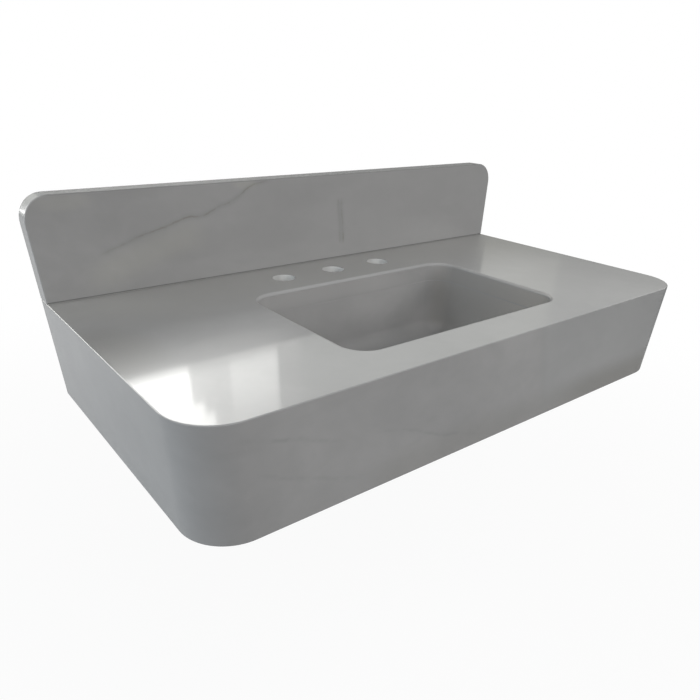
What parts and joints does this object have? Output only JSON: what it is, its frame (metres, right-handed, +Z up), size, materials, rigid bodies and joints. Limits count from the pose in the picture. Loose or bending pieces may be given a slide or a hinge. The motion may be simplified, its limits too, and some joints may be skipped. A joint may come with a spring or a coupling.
{
  "type": "wall-mounted sink",
  "caption": "Wall-hung grey marble sink with backsplash, deep rounded apron, carved rectangular basin, tap holes, steel support and click waste.",
  "frame": {"origin": "middle of the rear face of the steel cleat under the deck's rear edge, on the wall plane", "axes": "+X to the right seen from the room, +Y into the wall, +Z up; the room is towards -Y"},
  "size_m": [0.915, 0.488, 0.411],
  "materials": {
    "marble": "polished grey marble with faint brownish veins",
    "sealant": "grey silicone sealant",
    "steel": "galvanised steel",
    "brass": "plain machined brass",
    "chrome": "polished chrome",
    "rubber": "black rubber",
    "plastic": "white plastic"
  },
  "bodies": {
    "root": {"deck_slab": "marble", "front_apron": "marble", "apron_corner_left": "marble", "apron_corner_right": "marble", "side_apron_left": "marble", "side_apron_right": "marble", "backsplash": "marble", "basin": "marble", "basin_sealant": "sealant", "backsplash_sealant": "sealant", "rear_cleat": "steel", "cleat_pad": "rubber", "wall_bracket_left": "steel", "wall_bracket_right": "steel", "bracket_pad_left": "rubber", "bracket_pad_right": "rubber", "deck_bolt_left_rear": "steel", "deck_bolt_left_front": "steel", "deck_bolt_right_rear": "steel", "deck_bolt_right_front": "steel", "deck_washer_left_rear": "steel", "deck_washer_left_front": "steel", "deck_washer_right_rear": "steel", "deck_washer_right_front": "steel", "deck_insert_left_rear": "brass", "deck_insert_left_front": "brass", "deck_insert_right_rear": "brass", "deck_insert_right_front": "brass", "basin_clip_left_rear": "steel", "basin_clip_left_front": "steel", "basin_clip_right_rear": "steel", "basin_clip_right_front": "steel", "clip_stud_left_rear": "steel", "clip_stud_left_front": "steel", "clip_stud_right_rear": "steel", "clip_stud_right_front": "steel", "clip_nut_left_rear": "steel", "clip_nut_left_front": "steel", "clip_nut_right_rear": "steel", "clip_nut_right_front": "steel", "waste_body": "chrome", "flange_gasket": "rubber", "lower_gasket": "rubber", "friction_washer": "plastic", "lock_nut": "brass", "tailpiece": "chrome", "tailpiece_seal": "rubber", "click_cartridge": "plastic"},
    "plug": {"drain_plug": "chrome", "plug_seal": "rubber"}
  },
  "joints": [
    {"name": "plug_lift", "type": "slide", "parent": "root", "child": "plug", "axis": [0, 0, 1], "range_m": [0, 0.01]}
  ]
}
